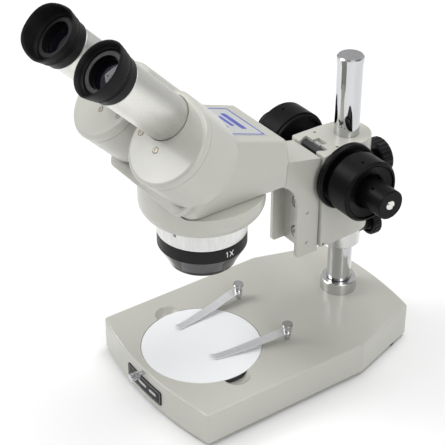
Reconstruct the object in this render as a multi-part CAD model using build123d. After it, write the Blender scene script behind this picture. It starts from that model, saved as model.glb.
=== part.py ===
from build123d import *
import math
import os

# Stereo microscope on a pole stand, millimetres.
# Stage frame used while modelling: X to the user's right, Y away from the user, Z up,
# with x = y = 0 on the optical axis and z = 0 on the underside of the base casting.
# Every piece is moved by (0, AXIS_Y, FOOT_DROP) when it is written, which puts the origin
# at the middle of the bounding box, on the surface that the rubber feet stand on.

# ---- driving dimensions -------------------------------------------------------------
AXIS_Y = -32.19
FOOT_DROP = 4.0

BASE_HALF_W = 74.0
BASE_FRONT_Y = -44.5
BASE_FRONT_BOW = 9.5
BASE_SIDE_END_Y = 105.0
BASE_REAR_HALF_W = 54.3
BASE_REAR_Y = 167.4
BASE_REAR_BOW = 5.3
BASE_H = 26.8
BASE_WALL = 5.0

PLATE_R = 47.5
PLATE_T = 5.0
RECESS_GAP = 0.35
NOTCH_R = 11.0
NOTCH_DEPTH = 5.5

CLIP_X = 33.2
CLIP_Y = 59.4
CLIP_CAP_R = 4.6
CLIP_BUSH_R = 3.25
CLIP_PIN_R = 2.1
LEAF_T = 0.7
LEAF_HALF_W = 3.9
LEAF_ROOT_Z = 34.6

LOCK_Z = 23.7
LOCK_R = 1.75

POLE_R = 10.0
POLE_Y = 138.3
POLE_TOP = 235.0
FLANGE_R = 15.0
FLANGE_TOP = 37.3
BORE_R = POLE_R + 0.06

COLLAR_R = 15.4
COLLAR_Z0 = 73.6
COLLAR_Z1 = 91.3
COLLAR_KNOB_Z = 79.8
COLLAR_KNOB_R = 11.3
COLLAR_KNOB_Y = 165.5
COLLAR_KNOB_W = 7.8

BLOCK_HALF_W = 20.5
BLOCK_FRONT_Y = 100.0
BLOCK_REAR_R = 19.6
BLOCK_Z0 = 91.5
BLOCK_Z1 = 173.7
CLAMP_Z = 140.5
CLAMP_KNOB_R = 15.6

SHAFT_Y = 119.5
SHAFT_Z = 152.1
PINION_TEETH = 12
GEAR_MODULE = 1.0
PITCH_R = GEAR_MODULE * PINION_TEETH / 2
SLEEVE_R = 4.5
FINE_SHAFT_R = 2.5
HUB_R = 12.0
RIGHT_DRUM_R = 24.9
LEFT_DRUM_R = 26.8
FINE_KNOB_R = 11.8
RING_R = 27.3
DRUM_WELL_R = 13.6

ARM_HALF_W = 17.0
ARM_WALL = 3.0
ARM_REAR_Y = 99.3
ARM_FRONT_Y = 78.6
ARM_Z0 = 87.0
ARM_SCREW_ZS = (98.7, 126.0)

HEAD_REAR_Y = 54.5
HEAD_Z0 = 173.0
TOP_SLOPE = 0.3346
TOP_REF_Y = 25.0
TOP_REF_Z = 219.0
HEAD_TOP_HALF_W = 33.8
HEAD_LOW_HALF_W = 36.0
FLARE_HALF_W = 46.7
FLARE_LOW = -37.0
FLARE_HIGH = 6.0
FLARE_DEPTH = 15.0
CORNER_R = 8.5

TUBE_TILT = math.radians(45.26)
TOE_OUT = math.radians(3.72)
DRUM_X = 38.7
DRUM_Y = -52.9
DRUM_Z = 245.6
DRUM_R = 32.0
NECK_R = 21.0
TUBE_IN = 12.0
TUBE_UP = 13.8
TUBE_R = 16.8
TUBE_LEN = 58.0
HOUSING_BACK = -39.5
COVER_T = 6.5
COVER_GAP = 0.4
PLATE_FACE = 42.0
PLATE_THICK = 5.0
PIVOT_IN = 13.5
PIVOT_DOWN = 3.0
JOURNAL_R = 11.0
NUT_R = 13.5
COVER_SCREWS = ((-24.0, -4.8), (-3.5, -8.5))
EYEPIECE_BORE_R = 15.05

NUT_FACE = -49.2

BOWL_R = 47.2
BOWL_Z0 = 152.3
BOWL_Y = 1.6
TURRET_R = 34.3
NOSE_R = 34.0
HEAD_PRISM_X = 15.5

SIDES = {"right": 1, "left": -1}


# ---- small helpers ------------------------------------------------------------------
def rod(radius, z0, z1, x=0.0, y=0.0):
    """Cylinder along Z between two heights."""
    return Pos(x, y, z0) * Cylinder(radius, z1 - z0, align=(Align.CENTER, Align.CENTER, Align.MIN))


def rod_x(radius, x0, x1, y, z):
    """Cylinder along X."""
    return Pos(x0, y, z) * Rot(0, 90, 0) * rod(radius, 0, x1 - x0)


def rod_y(radius, y0, y1, x, z):
    """Cylinder along Y."""
    return Pos(x, y0, z) * Rot(-90, 0, 0) * rod(radius, 0, y1 - y0)


def block(x0, x1, y0, y1, z0, z1):
    """Box between opposite corners."""
    middle = Pos((x0 + x1) / 2, (y0 + y1) / 2, (z0 + z1) / 2)
    return middle * Box(x1 - x0, y1 - y0, z1 - z0)


def turned(points):
    """Solid of revolution about Z from (radius, height) points."""
    outline = make_face(Polyline(*points, close=True))
    return revolve(Plane.XZ * outline, Axis.Z)


def turned_x(points, y, z, direction=1):
    """Solid of revolution about a line along X from (radius, distance) points."""
    return Pos(0, y, z) * Rot(0, 90 * direction, 0) * turned(points)


def side_extrusion(points, half_width):
    """Prism across X from (y, z) points."""
    outline = make_face(Polyline(*points, close=True))
    return extrude(Plane.YZ * outline, amount=half_width, both=True)


def edges_along(shape, direction, low, high, axis):
    """Straight edges that run along one axis and whose centre lies in a range of another."""
    picked = shape.edges().filter_by(direction)
    return [e for e in picked if low <= getattr(e.center(), axis) <= high]


def save(name, shape):
    """Move a piece from the stage frame to the part frame and write it."""
    moved = Pos(0, AXIS_Y, FOOT_DROP) * shape
    moved.label = name
    export_step(moved, os.path.join("parts", name + ".step"))


# ---- base ---------------------------------------------------------------------------
def base_outline(inset=0.0):
    """Plan of the base: bowed front, straight sides, chamfered corners, bowed rear."""
    w = BASE_HALF_W - inset
    front = BASE_FRONT_Y + inset
    rear = BASE_REAR_Y - inset
    rear_w = BASE_REAR_HALF_W - 0.6 * inset
    side_end = BASE_SIDE_END_Y - 0.4 * inset
    front_arc = ThreePointArc((-w, front), (0, front - BASE_FRONT_BOW), (w, front))
    right = Polyline((w, front), (w, side_end), (rear_w, rear))
    rear_arc = ThreePointArc((rear_w, rear), (0, rear + BASE_REAR_BOW), (-rear_w, rear))
    left = Polyline((-rear_w, rear), (-w, side_end), (-w, front))
    return make_face(Wire([*front_arc.edges(), *right.edges(), *rear_arc.edges(), *left.edges()]))


FOOT_PLACES = [(sx * fx, fy) for fx, fy in ((60.0, -36.0), (52.0, 148.0)) for sx in (-1, 1)]
BOSS_TOP = BASE_H - BASE_WALL


def finger_scoop(side):
    """Ball that cuts a shallow round scoop at the rim of the stage plate."""
    ball_r = (NOTCH_R**2 + NOTCH_DEPTH**2) / (2 * NOTCH_DEPTH)
    return Pos(side * PLATE_R, 0, BASE_H + ball_r - NOTCH_DEPTH) * Sphere(ball_r)


def make_base():
    """Hollow casting with bosses for feet, clips, pole and lock screw."""
    body = extrude(base_outline(), amount=BASE_H)
    body = fillet(edges_along(body, Axis.Z, -999, 999, "Y"), 3.0)
    body = fillet(body.faces().sort_by(Axis.Z)[-1].edges(), 1.5)
    hollow = extrude(base_outline(BASE_WALL), amount=BOSS_TOP)
    hollow -= rod(PLATE_R + 6.5, BOSS_TOP - 5.0, BOSS_TOP)
    for side in (-1, 1):
        hollow -= rod(NOTCH_R + 3.5, BOSS_TOP - 6.0, BOSS_TOP, side * PLATE_R)
        hollow -= rod(6.0, 10.0, BOSS_TOP, side * CLIP_X, CLIP_Y)
    for x, y in FOOT_PLACES:
        hollow -= rod(7.5, 0, BOSS_TOP, x, y)
    hollow -= rod(18.0, 0, BOSS_TOP, 0, POLE_Y)
    hollow -= block(-7, 7, -60, -40, 14.0, BOSS_TOP)
    body -= hollow
    body -= rod(PLATE_R + RECESS_GAP, BASE_H - PLATE_T, BASE_H + 1)
    for side in (-1, 1):
        body -= finger_scoop(side)
        body -= rod(CLIP_PIN_R + 0.02, 12.0, BASE_H + 1, side * CLIP_X, CLIP_Y)
    for x, y in FOOT_PLACES:
        body -= rod(1.6, -1, 12, x, y)
    body -= rod(POLE_R + 0.05, 8.0, BASE_H + 1, 0, POLE_Y)
    body -= rod(4.2, -1, 9, 0, POLE_Y)
    body -= rod(8.5, -1, 3.2, 0, POLE_Y)
    body -= rod_y(LOCK_R + 0.06, -60, -45, 0, LOCK_Z)
    return body


def make_feet():
    """Rubber feet with a stepped hole for the screw head."""
    profile = [(1.8, -FOOT_DROP + 1.6), (3.4, -FOOT_DROP + 1.6), (3.4, -FOOT_DROP)]
    profile += [(6.6, -FOOT_DROP), (7.6, -0.05), (1.8, -0.05)]
    foot = turned(profile)
    return Compound([Pos(x, y, 0) * foot for x, y in FOOT_PLACES])


def make_foot_screws():
    """Pan-head screws that hold the feet."""
    screw = rod(3.0, -FOOT_DROP + 0.3, -FOOT_DROP + 1.55) + rod(1.5, -FOOT_DROP + 1.5, 10)
    slot = block(-3.2, 3.2, -0.4, 0.4, -FOOT_DROP, -FOOT_DROP + 0.9)
    screw -= slot
    return Compound([Pos(x, y, 0) * screw for x, y in FOOT_PLACES])


def make_badge():
    """Plain badge plate curved to the bowed front face."""
    half_chord = BASE_HALF_W
    bow_r = (half_chord**2 + BASE_FRONT_BOW**2) / (2 * BASE_FRONT_BOW)
    centre_y = BASE_FRONT_Y - BASE_FRONT_BOW + bow_r
    shell = rod(bow_r + 0.8, 5.6, 18.6, 0, centre_y) - rod(bow_r + 0.02, 5.0, 19.0, 0, centre_y)
    window = block(-23.4, 23.4, -60, -40, 5.6, 18.6)
    window = fillet(window.edges().filter_by(Axis.Y), 2.0)
    return shell & window


def make_stage_plate():
    """Round plate, flush with the casting."""
    plate = rod(PLATE_R, BASE_H - PLATE_T + 0.03, BASE_H)
    return chamfer(plate.edges().filter_by(GeomType.CIRCLE), 0.4)


def make_lock_screw():
    """Knurled thumbscrew that pinches the rim of the stage plate."""
    tip = -(PLATE_R + RECESS_GAP) - 0.1
    screw = rod_y(LOCK_R, -58.6, tip, 0, LOCK_Z)
    head = rod_y(3.2, -66.2, -58.6, 0, LOCK_Z)
    head = chamfer(head.edges().filter_by(GeomType.CIRCLE), 0.4)
    groove = rod_y(0.35, -65.4, -59.4, 3.25, 0)
    for k in range(24):
        head -= Pos(0, 0, LOCK_Z) * Rot(0, 15 * k, 0) * groove
    return screw + head


# ---- stage clips --------------------------------------------------------------------
def leaf_angle(side):
    """Plan direction of a leaf, from its post towards its tip, in degrees."""
    tip_x = 19.0 if side > 0 else -27.5
    return math.degrees(math.atan2(-4.8 - CLIP_Y, tip_x - side * CLIP_X))


LEAF_LEN = 65.2


def make_clip_post():
    """Pin in the casting, bush above it, and a flat cap."""
    pin = rod(CLIP_PIN_R, 13.0, BASE_H + 4.0)
    pin += rod(CLIP_PIN_R, BASE_H + 4.0, BASE_H + 14.0)
    lower = rod(CLIP_BUSH_R, BASE_H + 3.9, LEAF_ROOT_Z - 0.05)
    upper = rod(CLIP_BUSH_R, LEAF_ROOT_Z + LEAF_T + 0.05, BASE_H + 13.2)
    cap = chamfer(rod(CLIP_CAP_R, BASE_H + 13.1, BASE_H + 14.9).edges(), 0.35)
    return pin + lower + upper + cap


def make_clip_posts():
    post = make_clip_post()
    return Compound([Pos(side * CLIP_X, CLIP_Y, 0) * post for side in (-1, 1)])


def make_leaf(side):
    """Spring leaf: flat at the post, sloping to the plate, tip turned up."""
    top = LEAF_ROOT_Z + LEAF_T
    toe = BASE_H + 0.35
    lower = [(-5.0, LEAF_ROOT_Z), (5.0, LEAF_ROOT_Z), (LEAF_LEN - 6.0, toe), (LEAF_LEN, toe + 1.9)]
    upper = [(LEAF_LEN, toe + 1.9 + LEAF_T), (LEAF_LEN - 6.0, toe + LEAF_T), (5.0, top), (-5.0, top)]
    strip = extrude(Plane.XZ * make_face(Polyline(*lower, *upper, close=True)), 8, both=True)
    plan = make_hull([*Circle(LEAF_HALF_W + 0.6).edges(), *(Pos(LEAF_LEN - 3.2, 0) * Circle(3.2)).edges()])
    strip &= extrude(plan, 60)
    strip -= rod(CLIP_PIN_R + 0.07, 0, 60)
    return Pos(side * CLIP_X, CLIP_Y, 0) * Rot(0, 0, leaf_angle(side)) * strip


# ---- pole and safety collar ---------------------------------------------------------
def make_flange():
    profile = [(POLE_R + 0.05, BASE_H), (FLANGE_R, BASE_H), (FLANGE_R, FLANGE_TOP - 0.8)]
    profile += [(FLANGE_R - 0.8, FLANGE_TOP), (POLE_R + 0.9, FLANGE_TOP)]
    profile += [(POLE_R + 0.9, FLANGE_TOP - 1.2), (POLE_R + 0.05, FLANGE_TOP - 1.2)]
    return Pos(0, POLE_Y, 0) * turned(profile)


def make_pole():
    """Ground pole, tapped at the foot, bored at the top for its cap."""
    pole = rod(POLE_R, 8.0, POLE_TOP, 0, POLE_Y)
    pole -= rod(4.0, 7.0, 34.0, 0, POLE_Y)
    pole -= rod(6.0, POLE_TOP - 14.0, POLE_TOP + 1, 0, POLE_Y)
    return pole


def make_pole_cap():
    top = POLE_TOP + 5.0
    profile = [(0, POLE_TOP - 10.0), (5.95, POLE_TOP - 10.0), (5.95, POLE_TOP), (10.5, POLE_TOP)]
    profile += [(10.5, top - 1.0), (9.5, top), (0, top)]
    return Pos(0, POLE_Y, 0) * turned(profile)


def make_pole_bolt():
    """Hexagon socket bolt from below with its washer, one solid each."""
    head = rod(6.5, 1.0, 2.95) - rod(2.5, 0.5, 2.4)
    bolt = head + rod(3.95, 2.9, 30.0)
    washer = rod(8.2, 3.0, 4.2) - rod(4.05, 2.5, 5.0)
    return Compound([Pos(0, POLE_Y, -0.6) * bolt, Pos(0, POLE_Y, -1.05) * washer])


def fluted_knob(radius, width, flutes):
    """Knob about Z: fluted rim, dished back, plain hub at z = 0."""
    rim = rod(radius, 0, width)
    rim = chamfer(rim.edges().filter_by(GeomType.CIRCLE), 1.0)
    flute = rod(1.3, -1, width + 1, radius + 0.5)
    for k in range(flutes):
        rim -= Rot(0, 0, 360 * k / flutes) * flute
    dish = turned([(0, width + 1), (radius - 3.5, width + 1), (radius - 4.5, width - 1.5), (0, width - 1.5)])
    hollow = turned([(6.5, -1), (radius - 2.6, -1), (radius - 3.2, 3.0), (7.0, 3.0)])
    return rim - dish - hollow


def make_collar():
    """Ring on the pole with a tapped hole for the clamp stud."""
    ring = rod(COLLAR_R, COLLAR_Z0, COLLAR_Z1, 0, POLE_Y) - rod(BORE_R, 0, 200, 0, POLE_Y)
    outer = [e for e in ring.edges().filter_by(GeomType.CIRCLE) if e.radius > BORE_R + 1]
    ring = chamfer(outer, 0.7)
    return ring - rod_y(2.55, POLE_Y + 5, POLE_Y + 20, 0, COLLAR_KNOB_Z)


def make_collar_knob():
    neck_y = POLE_Y + COLLAR_R + 0.6
    face = fluted_knob(COLLAR_KNOB_R, COLLAR_KNOB_W, 20)
    knob = Pos(0, COLLAR_KNOB_Y, COLLAR_KNOB_Z) * Rot(-90, 0, 0) * face
    neck = rod_y(5.0, neck_y, COLLAR_KNOB_Y + 1.0, 0, COLLAR_KNOB_Z)
    bore = rod_y(2.5, neck_y - 1, COLLAR_KNOB_Y + 5.6, 0, COLLAR_KNOB_Z)
    return knob + neck - bore


def make_collar_stud():
    return rod_y(2.5, POLE_Y + POLE_R + 0.3, COLLAR_KNOB_Y + 5.6, 0, COLLAR_KNOB_Z)


# ---- focus block --------------------------------------------------------------------
SLIDE_NECK = 10.2
SLIDE_WIDE = 12.8
SLIDE_Y1 = 108.7
SLIDE_GAP = 0.3
RACK_ROOT_Y = 112.2


def dovetail(grow, y0, y1, z0, z1):
    """Prism along Z with the slide's dovetail section, grown by a clearance."""
    neck = SLIDE_NECK + grow
    wide = SLIDE_WIDE + grow
    points = [(-neck, y0), (neck, y0), (neck, 102.0 - grow / 2), (wide, 106.4), (wide, y1)]
    points += [(-wide, y1), (-wide, 106.4), (-neck, 102.0 - grow / 2)]
    return Pos(0, 0, z0) * extrude(make_face(Polyline(*points, close=True)), z1 - z0)


def make_focus_block():
    """Painted housing: round behind the pole, dovetail channel in front."""
    front = Pos(0, (BLOCK_FRONT_Y + 126.0) / 2) * Rectangle(2 * BLOCK_HALF_W, 126.0 - BLOCK_FRONT_Y)
    plan = make_hull([*front.edges(), *(Pos(0, POLE_Y) * Circle(BLOCK_REAR_R)).edges()])
    body = Pos(0, 0, BLOCK_Z0) * extrude(plan, BLOCK_Z1 - BLOCK_Z0)
    front_edges = edges_along(body, Axis.Z, BLOCK_FRONT_Y - 0.1, BLOCK_FRONT_Y + 0.1, "Y")
    body = fillet(front_edges, 1.5)
    body = fillet(body.faces().sort_by(Axis.Z)[-1].edges(), 1.0)
    body -= rod(BORE_R, 80, 200, 0, POLE_Y)
    body -= dovetail(SLIDE_GAP, 99.0, SLIDE_Y1 + SLIDE_GAP, 80, 190)
    body -= block(-5.2, 5.2, 105, RACK_ROOT_Y + 2.6, 80, 190)
    body -= rod_x(PITCH_R + GEAR_MODULE + 0.6, -6.0, 6.0, SHAFT_Y, SHAFT_Z)
    body -= rod_x(7.45, -30, 30, SHAFT_Y, SHAFT_Z)
    body -= rod_y(3.05, POLE_Y + 5, POLE_Y + 25, 0, CLAMP_Z)
    for x in (-13.9, 13.9):
        body -= rod(1.3, BLOCK_Z1 - 3.0, BLOCK_Z1 + 1, x, 117.6)
    body -= rod_x(1.2, BLOCK_HALF_W - 2.0, BLOCK_HALF_W + 1, 102.6, BLOCK_Z0 + 2.0)
    return body


def make_clamp_knob():
    neck_y = POLE_Y + BLOCK_REAR_R + 0.7
    knob = Pos(0, neck_y + 7.6, CLAMP_Z) * Rot(-90, 0, 0) * fluted_knob(CLAMP_KNOB_R, 10.5, 24)
    neck = rod_y(6.5, neck_y, neck_y + 8.0, 0, CLAMP_Z)
    bore = rod_y(3.0, neck_y - 1, neck_y + 13.0, 0, CLAMP_Z)
    return knob + neck - bore


def make_clamp_stud():
    return rod_y(3.0, POLE_Y + POLE_R + 0.3, POLE_Y + BLOCK_REAR_R + 13.5, 0, CLAMP_Z)


def make_bearing_hubs():
    """One turned bush on each side of the block."""
    hubs = []
    for side in (-1, 1):
        reach = 30.2 if side > 0 else 33.6
        profile = [(SLEEVE_R + 0.06, 7.2), (7.4, 7.2), (7.4, BLOCK_HALF_W), (HUB_R, BLOCK_HALF_W)]
        profile += [(HUB_R, reach), (SLEEVE_R + 0.06, reach)]
        hubs.append(turned_x(profile, SHAFT_Y, SHAFT_Z, side))
    return Compound(hubs)


def make_tension_ring():
    """Wide thin ring beside the block that sets the drag of the coarse focus."""
    x0 = BLOCK_HALF_W + 0.6
    profile = [(HUB_R + 0.3, x0), (RING_R - 0.8, x0), (RING_R, x0 + 0.8), (RING_R, x0 + 4.2)]
    profile += [(RING_R - 0.5, x0 + 5.2), (RING_R - 1.4, x0 + 5.6), (RING_R - 2.4, x0 + 5.2)]
    profile += [(RING_R - 4.4, x0 + 2.2), (18.0, x0 + 2.2), (17.6, x0 + 5.0), (HUB_R + 0.3, x0 + 5.0)]
    return turned_x(profile, SHAFT_Y, SHAFT_Z)


# ---- focus drive --------------------------------------------------------------------
def make_pinion_shaft():
    """Hollow shaft with the pinion cut in its middle."""
    outer = PITCH_R + 0.8 * GEAR_MODULE
    root = PITCH_R - 1.2 * GEAR_MODULE
    tooth = [(root - 0.5, -0.75), (root - 0.5, 0.75), (PITCH_R, 0.58)]
    tooth += [(outer, 0.25), (outer, -0.25), (PITCH_R, -0.58)]
    gear = Circle(root)
    for k in range(PINION_TEETH):
        gear += Rot(0, 0, 360 * (k + 0.5) / PINION_TEETH) * make_face(Polyline(*tooth, close=True))
    cut = Pos(-5.0, SHAFT_Y, SHAFT_Z) * Rot(0, 90, 0) * Rot(0, 0, 90) * extrude(gear, 10.0)
    shaft = rod_x(SLEEVE_R, -52.0, 46.0, SHAFT_Y, SHAFT_Z) + cut
    return shaft - rod_x(FINE_SHAFT_R + 0.06, -60, 60, SHAFT_Y, SHAFT_Z)


def drum(radius, x0, x1, inner_dish):
    """Coarse drum about Z from x0 to x1: stepped inner end, rimmed and dished outer face."""
    step = x0 + 2.8
    profile = [(SLEEVE_R, x0 + inner_dish), (radius - 4.5, x0 + inner_dish), (radius - 3.5, x0)]
    profile += [(radius - 1.8, x0), (radius - 1.4, x0 + 0.4), (radius - 1.4, step)]
    profile += [(radius - 0.6, step), (radius, step + 0.6), (radius, x1 - 1.6)]
    profile += [(radius - 1.2, x1 - 0.2), (radius - 2.6, x1), (radius - 3.0, x1 - 1.7)]
    profile += [(radius - 3.7, x1 - 1.7), (radius - 4.1, x1 - 1.1), (DRUM_WELL_R + 1.2, x1 - 2.6)]
    profile += [(DRUM_WELL_R, x1 - 3.4), (DRUM_WELL_R, x1 - 8.0), (SLEEVE_R, x1 - 8.0)]
    return turned(profile)


def set_screw_hole(side, radius, rim_r, distance, turn):
    """Radial hole in a rim, turned from the top towards the user, in the drum's own frame."""
    angle = turn if side > 0 else 180 - turn
    return Pos(0, 0, distance) * Rot(0, 0, angle) * Rot(0, -90, 0) * rod(radius, rim_r - 3.0, rim_r + 2.0)


def make_coarse_knob(side):
    """Coarse drum, clamped to the hollow shaft by a set screw in its rim."""
    if side > 0:
        solid = drum(RIGHT_DRUM_R, 30.8, 54.0, 1.2) - set_screw_hole(side, 1.1, RIGHT_DRUM_R, 47.0, 10)
    else:
        solid = drum(LEFT_DRUM_R, 34.4, 60.0, 3.0) - set_screw_hole(side, 1.1, LEFT_DRUM_R, 51.0, 10)
    return Pos(0, SHAFT_Y, SHAFT_Z) * Rot(0, 90 * side, 0) * solid


def make_fine_shaft():
    return rod_x(FINE_SHAFT_R, -71.0, 71.0, SHAFT_Y, SHAFT_Z)


def make_fine_knob(side):
    """Fine focus knob with a pocket for its end screw."""
    x0 = 46.8 if side > 0 else 52.8
    profile = [(FINE_SHAFT_R, x0), (FINE_KNOB_R - 0.6, x0), (FINE_KNOB_R, x0 + 0.6), (FINE_KNOB_R, 75.4)]
    profile += [(FINE_KNOB_R - 0.8, 76.2), (4.2, 76.2), (4.2, 73.4), (FINE_SHAFT_R, 73.4)]
    solid = turned(profile) - set_screw_hole(side, 1.1, FINE_KNOB_R, 62.0, 33)
    return Pos(0, SHAFT_Y, SHAFT_Z) * Rot(0, 90 * side, 0) * solid


def make_fine_screws():
    """Screws with two notches in the ends of the fine focus knobs."""
    screw = turned([(0, 71.1), (2.4, 71.1), (2.4, 73.45), (3.9, 73.45), (3.9, 75.9), (3.5, 76.2), (0, 76.2)])
    screw -= Rot(0, 0, 50) * (block(-5, -2.5, -0.6, 0.6, 75.0, 77.0) + block(2.5, 5, -0.6, 0.6, 75.0, 77.0))
    screws = [Pos(0, SHAFT_Y, SHAFT_Z) * Rot(0, 90 * side, 0) * screw for side in (-1, 1)]
    return Compound(screws)


def make_slide():
    """Steel slide, stepped back from the arm at its upper end."""
    slide = dovetail(0.0, ARM_REAR_Y + 0.02, SLIDE_Y1, ARM_Z0 + 3.0, 171.5)
    return slide - block(-20, 20, ARM_REAR_Y - 1, 102.0, 158.0, 180)


def make_rack():
    """Toothed bar on the back of the slide, in mesh with the pinion."""
    pitch = math.pi * GEAR_MODULE
    pitch_y = SHAFT_Y - PITCH_R
    bar = block(-3.6, 3.6, SLIDE_Y1 + 0.02, RACK_ROOT_Y, 93.0, 172.6)
    tip_y = pitch_y + 0.8 * GEAR_MODULE
    flank = [(RACK_ROOT_Y - 0.2, -0.95), (pitch_y, -0.58), (tip_y, -0.25)]
    flank += [(tip_y, 0.25), (pitch_y, 0.58), (RACK_ROOT_Y - 0.2, 0.95)]
    tooth = side_extrusion(flank, 3.6)
    low = math.ceil((95.0 - SHAFT_Z) / pitch)
    high = math.floor((171.5 - SHAFT_Z) / pitch)
    for k in range(low, high + 1):
        bar += Pos(0, 0, SHAFT_Z + k * pitch) * tooth
    return bar


# ---- arm ----------------------------------------------------------------------------
def make_arm():
    """Channel casting that joins the slide to the head, open to the front and below."""
    bend = 26.0
    bend_y = ARM_FRONT_Y - bend
    bend_z = 134.0
    top_rear = 171.2
    top_front = top_rear + 0.21 * (ARM_REAR_Y - HEAD_REAR_Y)
    rise = 60
    centre = Vector(bend_y, bend_z)
    mid = centre + Vector(bend, 0).rotate(Axis.Z, rise / 2)
    end = centre + Vector(bend, 0).rotate(Axis.Z, rise)
    back = Polyline(
        (ARM_FRONT_Y, bend_z), (ARM_FRONT_Y, ARM_Z0), (ARM_REAR_Y, ARM_Z0), (ARM_REAR_Y, top_rear),
        (HEAD_REAR_Y + 0.05, top_front), (HEAD_REAR_Y + 0.05, HEAD_Z0 - 0.3),
        (50.6, HEAD_Z0 - 0.3), (50.6, 165.2), (end.X, end.Y),
    )
    curve = ThreePointArc((end.X, end.Y), (mid.X, mid.Y), (ARM_FRONT_Y, bend_z))
    outline = make_face(Wire([*back.edges(), *curve.edges()]))
    body = extrude(Plane.YZ * outline, ARM_HALF_W, both=True)
    inner = ARM_HALF_W - ARM_WALL
    hollow = [(20, 80), (90.5, 80), (90.5, 168.5), (59.0, 175.0), (59.0, 152.0), (20, 152.0)]
    body -= side_extrusion(hollow, inner)
    toe = [e for e in body.edges().filter_by(Axis.X) if e.center().Z < ARM_Z0 + 1 and e.center().Y < 80]
    body = fillet(toe, 3.0)
    for z in ARM_SCREW_ZS:
        body -= rod_y(2.6, 88, 101, 0, z)
        body -= rod_y(5.4, 88, 95.0, 0, z)
        body -= rod_x(1.2, ARM_HALF_W - 0.8, ARM_HALF_W + 1, 88.3, z)
    return body


def make_arm_screws():
    """Socket-head screws through the web into the slide."""
    screw = rod(4.2, 0, 4.6) - Pos(0, 0, -0.1) * extrude(RegularPolygon(2.1, 6), 2.6)
    screw += rod(2.5, 4.6, 12.0)
    return Compound([Pos(0, 90.4, z) * Rot(-90, 0, 0) * screw for z in ARM_SCREW_ZS])


def cut_screw_holes(shape):
    for z in ARM_SCREW_ZS:
        shape -= rod_y(2.52, 90, 103.0, 0, z)
    return shape


# ---- head ---------------------------------------------------------------------------
FACE_N = Vector(0, -math.cos(TUBE_TILT), math.sin(TUBE_TILT))
FACE_UP = Vector(0, math.sin(TUBE_TILT), math.cos(TUBE_TILT))


def head_top(y):
    """Height of the sloping top face."""
    return TOP_REF_Z + (TOP_REF_Y - y) * TOP_SLOPE


def face_point(depth, slope):
    """Point in the plane x = 0, a depth below the drum faces and a distance up the slope."""
    centre = Vector(0, DRUM_Y, DRUM_Z)
    return centre - FACE_N * depth + FACE_UP * slope


def face_plane(depth):
    """Plane parallel to the front plate: local X is X, local Y runs up the slope."""
    return Plane(origin=face_point(depth, 0), x_dir=(1, 0, 0), z_dir=FACE_N)


def ridge(depth):
    """Distance up the slope at which a plane of that depth meets the top face."""
    start = face_point(depth, 0)
    return (head_top(start.Y) - start.Z) / (FACE_UP.Z + TOP_SLOPE * FACE_UP.Y)


def drum_plane(side):
    """Plane on a drum's front face: Z along the tube axis, Y up the slope."""
    sin_toe = side * math.sin(TOE_OUT)
    cos_toe = math.cos(TOE_OUT)
    z_dir = (sin_toe, -cos_toe * math.cos(TUBE_TILT), cos_toe * math.sin(TUBE_TILT))
    x_dir = (cos_toe, sin_toe * math.cos(TUBE_TILT), -sin_toe * math.sin(TUBE_TILT))
    return Plane(origin=(side * DRUM_X, DRUM_Y, DRUM_Z), x_dir=x_dir, z_dir=z_dir)


def pivot_rod(side, radius, z0, z1):
    """Cylinder on a housing's swivel axis, in the drum's own frame."""
    return rod(radius, z0, z1, -side * PIVOT_IN, -PIVOT_DOWN)


def corner_cutter(side):
    """What is taken off to round a lower front corner of the head."""
    w = HEAD_LOW_HALF_W + 0.7
    half = CORNER_R / 2
    square = Pos(side * (w - half + 2), FLARE_LOW + half - 2) * Rectangle(CORNER_R + 4, CORNER_R + 4)
    round_off = square - Pos(side * (w - CORNER_R), FLARE_LOW + CORNER_R) * Circle(CORNER_R)
    return face_plane(PLATE_FACE) * extrude(round_off, -30.0)


def make_flare():
    """Part of the casting that widens from the body to the front plate."""
    middle = (FLARE_LOW + FLARE_HIGH) / 2
    height = FLARE_HIGH - FLARE_LOW
    wide = Pos(0, middle) * RectangleRounded(2 * FLARE_HALF_W, height, CORNER_R)
    narrow = Pos(0, middle) * RectangleRounded(2 * (HEAD_LOW_HALF_W + 0.7), height, CORNER_R)
    depth = PLATE_FACE + PLATE_THICK
    return loft([face_plane(depth) * wide, face_plane(depth + FLARE_DEPTH) * narrow], ruled=True)


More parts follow.
